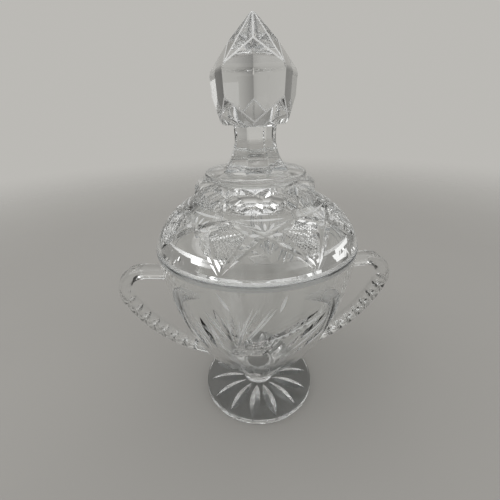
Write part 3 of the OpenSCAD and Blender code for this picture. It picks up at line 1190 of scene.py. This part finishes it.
@dataclass
class Bowl:
    """The bowl's thick wall, with flats round its base and a cut pattern on its front and back."""

    levels: Levels
    base_r: float = 12.0
    rim_r: float = 52.3
    swell: float = 9.4
    wall: float = 5.4
    floor_t: float = 9.0
    floor_r: float = 30.0
    rim_round: float = 0.7
    stem_r: float = 11.0
    flats: int = 14
    flat_h: float = 31.0
    flat_depth: float = 0.5
    flat_span: float = 3.0
    frost_w: float = 3.8
    frost_h: float = 2.2
    sides: int = 256
    fused_depth: float = 0.05
    halvings: int = 40

    @property
    def side(self) -> Swell:
        """The bowl's outer side."""
        low, high = (self.base_r, self.levels.bowl_base), (self.rim_r, self.levels.rim)
        return Swell(low, high, self.swell)

    def _grind_flats(self, piece: Workpiece, inset: float) -> None:
        """Grinds the flats of the base.

        Args:
            piece: The piece to grind.
            inset: How far inside the true flats these lie.
        """
        base = self.levels.bowl_base
        run = self.side.reach(base + self.flat_h) - self.base_r
        lean = math.degrees(math.atan2(run, self.flat_h))
        flat_r = self.base_r - self.flat_depth - inset
        flat = Flat(flat_r, base, lean, self.flat_span * self.flat_h)
        piece.grind(flat.mesh(), self.flats, 180.0 / self.flats)

    def solid(self) -> bpy.types.Mesh:
        """The bowl without its hollow, for what is fused on to it.

        Returns:
            The mesh, a little inside the true side.
        """
        side, inset = self.side, self.fused_depth
        base, rim = self.levels.bowl_base, self.levels.rim
        outline = chained(
            (0.0, base),
            ((side.reach(base, inset), base), 2),
            ((side.reach(rim, inset), rim), 60, side.centre),
            ((0.0, rim), 2),
        )
        piece = Workpiece.turned("bowl_solid", outline, self.sides)
        self._grind_flats(piece, inset)
        return marked(piece.mesh, FRESH_CUT)

    def _outline(self) -> tuple[Stretch, ...]:
        """The outline of the wall, floor and rim.

        Returns:
            The stretches, from the base round the rim to the floor of the hollow.
        """
        side, edge = self.side, self.rim_round
        base, rim = self.levels.bowl_base, self.levels.rim
        floor = base + self.floor_t
        ball = (0.0, floor + self.floor_r)
        under = rim - edge
        outer_r, mouth_r = side.reach(under), side.reach(under, self.wall)
        return chained(
            (0.0, base),
            ((self.stem_r, base), 2, None, Finish.FUSED),
            ((self.base_r, base), 1),
            ((side.reach(rim - self.frost_h), rim - self.frost_h), 72, side.centre),
            ((outer_r, under), 3, side.centre, Finish.FROSTED),
            ((self.rim_r - edge, rim), 5, (outer_r - edge, under), Finish.FROSTED),
            ((self.rim_r - self.frost_w, rim), 3, None, Finish.FROSTED),
            ((side.reach(rim, self.wall) + edge, rim), 2, None, Finish.GROUND),
            ((mouth_r, under), 5, (mouth_r + edge, under)),
            (self._floor_joint(ball), 56, side.centre),
            ((0.0, floor), 18, ball),
        )

    def _floor_joint(self, ball: Pair) -> Pair:
        """The point at which the hollow's side runs into its rounded bottom.

        Args:
            ball: The centre of the bottom's round.

        Returns:
            The point, found by halving.
        """
        side = self.side
        low, high = self.levels.bowl_base + self.floor_t, ball[1]
        for _ in range(self.halvings):
            z = (low + high) / 2
            bottom = math.sqrt(max(0.0, self.floor_r**2 - (z - ball[1]) ** 2))
            low, high = (z, high) if bottom < side.reach(z, self.wall) else (low, z)
        return side.reach(low, self.wall), low

    def build(self, handles: Sequence[Workpiece]) -> None:
        """Turns and cuts the bowl.

        Args:
            handles: The handles, whose roots are let into the wall.
        """
        piece = Workpiece.turned("bowl", self._outline(), self.sides)
        self._grind_flats(piece, 0.0)
        for cut in Spray(self.levels.rim).cuts():
            piece.cut(cut, self.side, 2)
        for handle in handles:
            piece.grind(marked(handle.mesh.copy(), FRESH_CUT), finish=Finish.FUSED)
        piece.deliver("bowl")


def polar(centre: Vector, radius: float, angle: float) -> Vector:
    """A point on an arc of a handle's loop, in its plane, at an angle in degrees."""
    a = math.radians(angle)
    return centre + radius * Vector((math.cos(a), math.sin(a)))


@dataclass
class Handles:
    """The two solid loops, with a row of facets along the outside of each."""

    levels: Levels
    rim_r: float = 52.3
    out: float = 26.2
    width: float = 10.0
    thick: float = 7.6
    bend_r: float = 11.0
    bend_drop: float = 29.0
    sweep_r: float = 75.0
    bend_end: float = 22.0
    sweep_end: float = 86.0
    sweep_plain: float = 22.0
    arm_slope: float = 5.0
    arm_swell_gap: float = 2.0
    root_swell: float = 1.3
    swell_power: float = 1.5
    facet_depth: float = 0.9
    facet_reach: float = 3.0
    bend_facets: int = 4
    sweep_facets: int = 8
    root_r: float = 43.0
    arm_steps: int = 12
    bend_steps: int = 36
    sweep_steps: int = 72
    section_steps: int = 28
    outer_power: float = 0.62
    inner_power: float = 0.9
    side_power: float = 0.85

    def _bend_centre(self) -> Vector:
        """Centre of the tight bend, in the loop's plane."""
        out = self.rim_r + self.out - self.thick / 2 - self.bend_r
        return Vector((out, self.levels.rim - self.bend_drop))

    def _sweep_centre(self) -> Vector:
        """Centre of the long sweep, in the loop's plane."""
        return polar(self._bend_centre(), self.bend_r - self.sweep_r, -self.bend_end)

    def _angles(
        self, bend_steps: int, sweep_span: float, sweep_steps: int
    ) -> tuple[list[float], list[float]]:
        """Angles of the outside along the loop, in degrees.

        Args:
            bend_steps: Number of steps round the bend.
            sweep_span: How far the sweep is followed.
            sweep_steps: Number of steps along it.

        Returns:
            The angles on the bend, without its end, and those on the sweep.
        """
        top, end = 90.0 + self.arm_slope, self.bend_end
        bend = [top - (top + end) * i / bend_steps for i in range(bend_steps)]
        return bend, [-end - sweep_span * i / sweep_steps for i in range(sweep_steps + 1)]

    def _swelling(self, past: float) -> float:
        """How much thicker the glass is at a share of the way to a root."""
        return 1 + (self.root_swell - 1) * max(0.0, past) ** self.swell_power

    def _stations(self) -> list[tuple[Vector, float, float]]:
        """Points along the middle of the glass.

        Returns:
            For each its place in the loop's plane, the outside's angle and the section's swell.
        """
        top = 90.0 + self.arm_slope
        bend, sweep = self._bend_centre(), self._sweep_centre()
        arm_top = polar(bend, self.bend_r, top)
        slope = math.radians(self.arm_slope)
        outwards = Vector((math.cos(slope), math.sin(slope)))
        arm = arm_top.x - self.root_r
        plain = arm_top.x - self.rim_r - self.arm_swell_gap
        found: list[tuple[Vector, float, float]] = []
        for i in range(self.arm_steps):
            back = arm - arm * i / self.arm_steps
            swell = self._swelling((back - plain) / (arm - plain))
            found.append((arm_top - back * outwards, top, swell))
        span = self.sweep_end - self.bend_end
        on_bend, on_sweep = self._angles(self.bend_steps, span, self.sweep_steps)
        found += [(polar(bend, self.bend_r, angle), angle, 1.0) for angle in on_bend]
        for angle in on_sweep:
            past = (-angle - (self.sweep_end - self.sweep_plain)) / self.sweep_plain
            found.append((polar(sweep, self.sweep_r, angle), angle, self._swelling(past)))
        return found

    def _section(self, swell: float) -> list[Pair]:
        """The section of the glass.

        Args:
            swell: How much thicker it is than the plain glass.

        Returns:
            Distances out of the loop and across it.
        """
        t, w = swell * self.thick / 2, swell * self.width / 2
        section: list[Pair] = []
        for i in range(self.section_steps):
            a = 2 * math.pi * i / self.section_steps
            c, s = math.cos(a), math.sin(a)
            power = self.outer_power if c > 0 else self.inner_power
            out, across = abs(c) ** power, abs(s) ** self.side_power
            section.append((t * math.copysign(out, c), w * math.copysign(across, s)))
        return section

    def _facet_rings(self) -> list[list[Vector]]:
        """Sections of the wedge row that grinds the facets.

        Returns:
            Rings that stand in turn at the glass's outside and a facet's depth inside it.
        """
        span = self.sweep_end - self.sweep_plain - self.bend_end
        on_bend, on_sweep = self._angles(2 * self.bend_facets, span, 2 * self.sweep_facets)
        rings: list[list[Vector]] = []
        for centre, radius, angles in (
            (self._bend_centre(), self.bend_r, on_bend),
            (self._sweep_centre(), self.sweep_r, on_sweep),
        ):
            for i, angle in enumerate(angles):
                floor = radius + self.thick / 2 - i % 2 * self.facet_depth
                near, far = (polar(centre, floor + up, angle) for up in (0.0, self.facet_reach))
                w = self.width
                ends = ((near, -w), (near, w), (far, w), (far, -w))
                rings.append([Vector((p.x, y, p.y)) for p, y in ends])
        return rings

    def build(self, bowl: Bowl) -> list[Workpiece]:
        """Makes both handles.

        Args:
            bowl: The bowl that they are fused to.

        Returns:
            The handles, not yet delivered.
        """
        rings: list[list[Vector]] = []
        for p, angle, swell in self._stations():
            c, s = math.cos(math.radians(angle)), math.sin(math.radians(angle))
            rings.append([Vector((p.x + o * c, y, p.y + o * s)) for o, y in self._section(swell)])
        made: list[Workpiece] = []
        for name, turn in (("handle_right", 0.0), ("handle_left", 180.0)):
            mesh = marked(lofted_mesh(name, rings), DRESSED)
            mesh.materials.append(Finish.POLISHED.material())
            piece = Workpiece(name, mesh)
            piece.grind(lofted_mesh("facets", self._facet_rings()), finish=Finish.POLISHED)
            piece.grind(bowl.solid(), finish=Finish.FUSED)
            piece.mesh.transform(Matrix.Rotation(math.radians(turn), 4, "Z"))
            made.append(piece)
        return made


@dataclass
class Lid:
    """The domed lid: a lattice of mitres with hatched diamonds, the shoulder's flats and the seat.

    Heights of the cuts are above the seat, and those of the leaves above the mitres' crossing.
    """

    levels: Levels
    mouth_r: float
    rim_r: float = 52.3
    dome_h: float = 22.0
    dome_swell: float = 3.5
    wall: float = 5.5
    shoulder_r: float = 31.0
    top_r: float = 23.0
    lip_gap: float = 0.6
    lip_t: float = 2.6
    crown_t: float = 7.1
    rim_round: float = 0.6
    flats: int = 12
    flat_depth: float = 1.2
    flat_lean: float = 8.0
    lattice: int = 8
    mitre: Cut = Cut((), 1.2, middle=0.61, steps=32)
    mitre_end_gap: float = 0.7
    mitre_low: float = 3.3
    mitre_top_gap: float = 1.4
    cross_h: float = 16.8
    # Leaves take the worn finish, whose whitish colour is partly wear of ground cuts and partly a
    # painted glint
    side_leaf: Cut = Cut((), 0.6, finish=Finish.WORN)
    side_leaf_ends: Pair = (3.4, 9.8)
    leaf: Cut = Cut((), 0.5, finish=Finish.WORN)
    leaves: tuple[tuple[Pair, Pair], ...] = (
        ((0.0, 1.2), (0.0, 3.3)),
        ((-2.2, 1.3), (-6.5, 3.1)),
        ((2.2, 1.3), (6.5, 3.1)),
    )
    line_half: float = 15.0
    line_top_gap: float = 1.2
    hatch: Hatch = Hatch(((-11.0, 17.0), (0.0, 6.6), (11.0, 17.0), (0.0, 20.0)), 12, 9, 0.5)
    frost_w: float = 3.8
    sides: int = 256

    @property
    def side(self) -> Swell:
        """The dome's outer side."""
        seat = self.levels.seat
        return Swell((self.rim_r, seat), (self.shoulder_r, seat + self.dome_h), self.dome_swell)

    def _outline(self) -> tuple[Stretch, ...]:
        """The outline of the dome, shoulder, lip and hollow.

        Returns:
            The stretches, from the crown of the hollow round to the top.
        """
        side, edge = self.side, self.rim_round
        seat, lip, top = self.levels.seat, self.levels.lip, self.levels.pad
        lip_r = self.mouth_r - self.lip_gap
        hollow_r = lip_r - self.lip_t
        inner = side.radius - self.wall
        crown = top - self.crown_t
        rise = crown - side.centre[1]
        crown_r = (side.centre[0] ** 2 + rise**2 - inner**2) / (2 * (rise - inner))
        crown_c = (0.0, crown - crown_r)
        run_on = crown_r / (crown_r - inner)
        joint = (run_on * side.centre[0], crown_c[1] + run_on * (side.centre[1] - crown_c[1]))
        hollow_z = side.centre[1] + math.sqrt(inner**2 - (hollow_r - side.centre[0]) ** 2)
        low_r = side.reach(seat + edge)
        round_z = top - (self.shoulder_r - self.top_r)
        return chained(
            (0.0, crown),
            (joint, 30, crown_c),
            ((hollow_r, hollow_z), 14, side.centre),
            ((hollow_r, lip), 5),
            ((lip_r, lip), 2),
            ((lip_r, seat), 3),
            ((self.rim_r - self.frost_w, seat), 2, None, Finish.GROUND),
            ((self.rim_r - edge, seat), 3, None, Finish.FROSTED),
            ((low_r, seat + edge), 4, (low_r - edge, seat + edge), Finish.FROSTED),
            ((self.shoulder_r, seat + self.dome_h), 34, side.centre),
            ((self.shoulder_r, round_z), 5),
            ((self.top_r, top), 14, (self.top_r, round_z)),
            ((0.0, top), 3, None, Finish.FUSED),
        )

    def _small_cuts(self) -> list[Cut]:
        """The fine cuts of one bay.

        Returns:
            The leaves beside and over a crossing, and the line under the shoulder.
        """
        cross = self.levels.seat + self.cross_h
        line = self.levels.seat + self.dome_h - self.line_top_gap
        near, far = self.side_leaf_ends
        sides = [((hand * near, cross), (hand * far, cross)) for hand in (1, -1)]
        found = [self.side_leaf.along(*path) for path in sides]
        for path in self.leaves:
            found.append(self.leaf.along(*((azimuth, cross + up) for azimuth, up in path)))
        return [*found, self.leaf.along((-self.line_half, line), (self.line_half, line))]

    def build(self) -> None:
        """Turns and cuts the lid."""
        piece = Workpiece.turned("lid", self._outline(), self.sides)
        seat, side = self.levels.seat, self.side
        size = 2 * self.shoulder_r
        lean = math.radians(self.flat_lean)
        flat_r = self.shoulder_r - self.flat_depth - size / 2 * math.tan(lean)
        flat = Flat(flat_r, seat + self.dome_h + size / 2, -self.flat_lean, size)
        piece.grind(flat.mesh(), self.flats, 180.0 / self.flats)
        step = 180.0 / self.lattice
        reach = step - self.mitre_end_gap
        low, cross = seat + self.mitre_low, seat + self.cross_h
        high = seat + self.dome_h - self.mitre_top_gap
        for hand in (-1, 1):
            mitre = self.mitre.along((hand * reach, low), (0.0, cross), (-hand * reach, high))
            piece.cut(mitre, side, self.lattice)
        for cut in self._small_cuts():
            piece.cut(cut, side, self.lattice)
        hatch = self.hatch.over(*((azimuth, seat + up) for azimuth, up in self.hatch.corners))
        piece.cut(hatch, side, self.lattice, step)
        piece.deliver("lid")


@dataclass
class Topping:
    """The pad on the lid, and the finial on the pad: a fluted neck under a faceted knob."""

    levels: Levels
    pad_r: float = 24.7
    lid_top_r: float = 23.0
    neck_h: float = 20.3
    waist_r: float = 9.4
    neck_foot_r: float = 15.5
    waist_h: float = 15.5
    flutes: int = 8
    neck_bevel: float = 0.5
    neck_sink: float = 0.5
    neck_steps: int = 40
    knob_h: float = 42.5
    faces: int = 5
    face_r: float = 17.0
    girdle_h: float = 21.4
    belt_h: float = 10.5
    face_taper: float = 3.0
    spire_h: float = 11.1
    spire_r: float = 10.8
    face_tip_h: float = 1.4
    knob_turn: float = -5.0
    knob_bevel: float = 0.4
    knob_bevel_steps: int = 2
    girdle_round: float = 1.6
    girdle_steps: int = 6
    level_slack: float = 0.001
    fused_r: float = 15.2
    sides: int = 224

    def build(self) -> None:
        """Makes both pieces."""
        self._pad().deliver("lid")
        self._finial().deliver("lid")

    def _pad(self) -> Workpiece:
        """The pad, turned with a round edge.

        Returns:
            The piece.
        """
        low, high = self.levels.pad, self.levels.finial
        edge = (high - low) / 2
        centre = (self.pad_r - edge, low + edge)
        outline = chained(
            (0.0, low),
            ((self.lid_top_r, low), 3, None, Finish.FUSED),
            ((centre[0], low), 1),
            ((self.pad_r, centre[1]), 7, centre),
            ((centre[0], high), 7, centre),
            ((self.fused_r, high), 3),
            ((0.0, high), 2, None, Finish.FUSED),
        )
        return Workpiece.turned("finial_pad", outline, self.sides)

    def _neck_rings(self) -> list[list[Vector]]:
        """Sections of the neck.

        Returns:
            Rings with a bevelled corner at each edge of the flutes.
        """
        drop = self.neck_foot_r - self.waist_r
        flute = (drop**2 + self.waist_h**2) / (2 * drop)
        half = math.pi / self.flutes
        rings: list[list[Vector]] = []
        for i in range(self.neck_steps + 1):
            up = (self.neck_h + self.neck_sink) * i / self.neck_steps
            inner = self.waist_r + flute - math.sqrt(flute**2 - (up - self.waist_h) ** 2)
            side = inner * math.tan(half) - self.neck_bevel
            ring: list[Vector] = []
            for k in range(self.flutes):
                c, s = math.cos(2 * half * k), math.sin(2 * half * k)
                for across in (-side, side):
                    x, y = inner * c - across * s, inner * s + across * c
                    ring.append(Vector((x, y, self.levels.finial + up)))
            rings.append(ring)
        return rings

    def _knob_blank(self, base: float, belt_foot: float) -> bpy.types.Mesh:
        """The knob with sharp edges: a spire, large faces with upright edges, and lower faces.

        Args:
            base: Height of the knob's underside.
            belt_foot: Height of the upright edges' lower ends, above the base.

        Returns:
            The mesh.
        """
        n = self.faces
        share = math.cos(math.pi / n)
        taper = math.tan(math.radians(self.face_taper))
        belt_foot_r = (self.face_r - taper * self.belt_h) / share
        face_tip_r = self.face_r - taper * (self.girdle_h - self.face_tip_h)
        tip_share = self.face_tip_h / belt_foot
        base_r = (share * face_tip_r - tip_share * belt_foot_r) / (1 - tip_share)
        points: list[Vector] = []
        # Each ring of corners has a radius, a height, and 1 if it lies between the faces' middles
        for r, up, on in (
            (self.spire_r, self.knob_h - self.spire_h, 0),
            (self.face_r / share, self.girdle_h, 1),
            (belt_foot_r, belt_foot, 1),
            (face_tip_r, self.face_tip_h, 0),
            (base_r / share, 0.0, 0),
        ):
            azimuths = [self.knob_turn + (2 * i + on) * 180.0 / n for i in range(n)]
            points += [around(azimuth, r, base + up) for azimuth in azimuths]
        points.append(Vector((0.0, 0.0, base + self.knob_h)))
        faces: list[list[int]] = []
        for i in range(n):
            j, h = (i + 1) % n, (i - 1) % n
            faces += [[5 * n, n + i, i], [5 * n, j, n + i], [i, n + i, n + h]]
            faces.append([n + h, n + i, 2 * n + i, 3 * n + i, 2 * n + h])
            faces.append([2 * n + i, 3 * n + j, 4 * n + j, 4 * n + i, 3 * n + i])
        faces.append([4 * n + i for i in range(n)])
        return plain_mesh("knob", points, faces)

    @staticmethod
    def _bevel(
        work: bmesh.types.BMesh, edges: list[bmesh.types.BMEdge], offset: float, segments: int
    ) -> list[bmesh.types.BMFace]:
        """Bevels edges, and gives the faces of the new strips."""
        how = {"profile": 0.5, "affect": "EDGES", "clamp_overlap": True}
        return bmesh.ops.bevel(work, geom=edges, offset=offset, segments=segments, **how)["faces"]

    def _knob(self) -> bpy.types.Mesh:
        """The knob, with a rounded girdle and other edges bevelled but the upright ones, the strips
        off the belt worn and painted with a glint.

        Returns:
            The mesh.
        """
        base, belt_foot = self.levels.finial + self.neck_h, self.girdle_h - self.belt_h
        mesh = self._knob_blank(base, belt_foot)
        work = bmesh.new()
        work.from_mesh(mesh)
        girdle = base + self.girdle_h
        creases = [
            edge
            for edge in work.edges
            if all(abs(vert.co.z - girdle) < self.level_slack for vert in edge.verts)
        ]
        self._bevel(work, creases, self.girdle_round, self.girdle_steps)
        ridges = [
            edge
            for edge in work.edges
            if edge.calc_face_angle(0.0) > SHARP_ANGLE
            and abs(edge.verts[0].co.z - edge.verts[1].co.z) < UPRIGHT * edge.calc_length()
        ]
        strips = self._bevel(work, ridges, self.knob_bevel, self.knob_bevel_steps)
        mark = work.faces.layers.int[STRETCH]
        # Strips off the belt take the worn finish, whose whitish colour is partly wear and partly a
        # painted glint along the edges
        for face in strips:
            up = face.calc_center_median().z - base
            if not belt_foot < up < self.girdle_h + self.girdle_round:
                face[mark] = DRESSED
                face.material_index = 1
        work.to_mesh(mesh)
        work.free()
        for finish in (Finish.POLISHED, Finish.WORN):
            mesh.materials.append(finish.material())
        return mesh

    def _finial(self) -> Workpiece:
        """The finial, neck and knob in one.

        Returns:
            The piece.
        """
        neck = lofted_mesh("neck", self._neck_rings())
        neck.materials.append(Finish.POLISHED.material())
        piece = Workpiece("finial", neck)
        piece.fuse(self._knob(), Finish.POLISHED)
        mesh = piece.mesh
        mesh.materials.append(Finish.FUSED.material())
        for face in mesh.polygons:
            if face.normal.z < -UPRIGHT and face.center.z < self.levels.finial + self.level_slack:
                face.material_index = len(mesh.materials) - 1
        return piece


@dataclass(frozen=True)
class Lamp:
    """A soft round lamp that faces the bowl: its place and width in metres, its power in watts."""

    name: str
    place: Triple
    size: float
    power: float
    aim: Triple = (0.0, 0.0, 0.1)

    def hang(self) -> None:
        """Puts the lamp into the scene."""
        light = bpy.data.lights.new(self.name, "AREA")
        light.shape = "DISK"
        light.size = self.size
        light.energy = self.power
        lamp = placed(self.name, light)
        lamp.location = self.place
        ahead = Vector(self.aim) - Vector(self.place)
        lamp.rotation_euler = ahead.to_track_quat("-Z", "Y").to_euler()
        lamp.visible_camera = False


@dataclass
class Studio:
    """The pale floor, the soft lights and the camera.

    The flags are darker bands of the backdrop that only the glass shows, each stop a share of the
    way to a flag's middle and a share of the backdrop's tone. The ceiling's stops are by height.
    """

    backdrop: Triple = (0.5, 0.49, 0.465)
    flags: int = 4
    flag_stops: tuple[Pair, ...] = ((0.25, 1.0), (0.58, 0.78), (0.76, 0.06))
    flag_top: Pair = (0.3, 0.42)
    ceiling_stops: tuple[Pair, ...] = ((0.42, 0.5), (0.54, 0.5), (0.7, 1.0))
    ceiling_light: tuple[float, Triple] = (0.97, (0.9, 0.9, 0.9))
    even_light: Triple = (1.0, 0.99, 0.97)
    even_strength: float = 0.55
    floor: FloorFinish = FloorFinish("pale_floor", (0.43, 0.42, 0.4), 0.3, 1.0)
    floor_r: float = 1.6
    floor_drop: float = 0.0002
    azimuth: float = -5.5
    distance: float = 149.6
    height: float = 170.9
    pitch: float = 25.93
    yaw: float = -1.4
    roll: float = -1.6
    focal_px: float = 300.0
    frame_px: float = 500.0
    sensor_w: float = 36.0
    near_clip: float = 0.01
    clear_bounces: int = 28
    mirror_bounces: int = 16
    shadow_bounces: int = 24
    floor_sides: int = 96
    lamps: tuple[Lamp, ...] = (
        Lamp("key", (-0.7, -0.15, 1.0), 1.0, 3.8),
        Lamp("fill", (0.75, -0.55, 0.6), 0.8, 1.1),
        Lamp("back", (0.9, 0.6, 0.95), 0.8, 1.2),
    )

    def build(self) -> None:
        """Sets the whole studio up."""
        scene = bpy.context.scene
        scene.view_settings.view_transform = "Standard"
        scene.cycles.max_bounces = self.clear_bounces
        scene.cycles.transmission_bounces = self.clear_bounces
        scene.cycles.glossy_bounces = self.mirror_bounces
        scene.cycles.transparent_max_bounces = self.shadow_bounces
        scene.cycles.caustics_refractive = False
        self._floor()
        self._world()
        for lamp in self.lamps:
            lamp.hang()
        self._camera()

    @property
    def heading(self) -> float:
        """The way that the camera faces, in radians from straight back."""
        return math.radians(self.yaw - self.azimuth)

    def _floor(self) -> None:
        """A round pale floor."""
        work = bmesh.new()
        bmesh.ops.create_circle(work, cap_ends=True, segments=self.floor_sides, radius=self.floor_r)
        mesh = bpy.data.meshes.new("floor")
        work.to_mesh(mesh)
        work.free()
        mesh.materials.append(self.floor.make())
        floor = placed("floor", mesh)
        floor.location.z = -self.floor_drop

    def _toned(self, stops: Sequence[Pair]) -> tuple[tuple[float, Triple], ...]:
        """Stops of a colour ramp, from shares of the backdrop's tone."""
        return tuple((place, dimmed(self.backdrop, share)) for place, share in stops)

    def _world(self) -> None:
        """A plain backdrop for what is seen, and an even light for the rest."""
        world = bpy.data.worlds.new("studio")
        world.use_nodes = True
        bpy.context.scene.world = world
        graph = Graph(world.node_tree)
        rays = graph.node("ShaderNodeLightPath").outputs
        to_camera, glossy, through = (
            Socket(graph, rays[f"Is {kind} Ray"]) for kind in ("Camera", "Glossy", "Transmission")
        )
        direction = graph.add("ShaderNodeTexCoord", out="Generated")
        parts = graph.node("ShaderNodeSeparateXYZ", {0: direction}).outputs
        east, north, height = (Socket(graph, parts[axis]) for axis in "XYZ")
        bearing = graph.add("ShaderNodeMath", {0: east, 1: north}, operation="ARCTAN2")
        half_turns = (bearing - self.heading) / (math.pi / self.flags) + 2.0 * self.flags
        near_flag = graph.add("ShaderNodeMath", {0: half_turns, 1: 1.0}, operation="PINGPONG")
        flags = graph.add("ShaderNodeValToRGB", {0: near_flag}, stops=self._toned(self.flag_stops))
        stops = (*self._toned(self.ceiling_stops), self.ceiling_light)
        ceiling = graph.add("ShaderNodeValToRGB", {0: height}, stops=stops)
        lifted = graph.eased(height, *self.flag_top)
        backed = graph.mixed(to_camera, graph.mixed(lifted, flags, ceiling), (*self.backdrop, 1.0))
        shown = graph.add("ShaderNodeBackground", {"Color": backed, "Strength": 1.0})
        even = {"Color": (*self.even_light, 1.0), "Strength": self.even_strength}
        light = graph.add("ShaderNodeBackground", even)
        seen = to_camera + glossy + through
        surface = graph.add("ShaderNodeMixShader", {0: seen, 1: light, 2: shown})
        graph.node("ShaderNodeOutputWorld", {"Surface": surface})

    def _camera(self) -> None:
        """Puts the camera where the photograph was taken from."""
        data = bpy.data.cameras.new("camera")
        data.sensor_width = self.sensor_w
        data.lens = self.sensor_w * self.focal_px / self.frame_px
        data.clip_start = self.near_clip
        camera = placed("camera", data)
        heading, p, r = self.heading, math.radians(self.pitch), math.radians(self.roll)
        level = math.cos(p)
        ahead = Vector((math.sin(heading) * level, math.cos(heading) * level, -math.sin(p)))
        right = Vector((math.cos(heading), -math.sin(heading), 0.0))
        up = right.cross(ahead)
        across = math.cos(r) * right + math.sin(r) * up
        upward = math.cos(r) * up - math.sin(r) * right
        turn = Matrix((across, upward, -ahead)).transposed().to_4x4()
        place = around(self.azimuth, self.distance, self.height) * MM
        camera.matrix_world = Matrix.Translation(place) @ turn
        bpy.context.scene.camera = camera


def main() -> None:
    """Builds every piece and the studio."""
    logging.basicConfig(level=logging.INFO, format="%(name)s: %(message)s")
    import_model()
    levels = Levels.measured()
    bowl = Bowl(levels)
    handles = Handles(levels).build(bowl)
    Pedestal(levels).build()
    bowl.build(handles)
    for handle in handles:
        handle.deliver("bowl")
    Lid(levels, bowl.side.reach(levels.lip - SEAT_GAP, bowl.wall)).build()
    Topping(levels).build()
    Studio().build()
    LOG.info("sizes written")


if __name__ == "__main__":
    main()
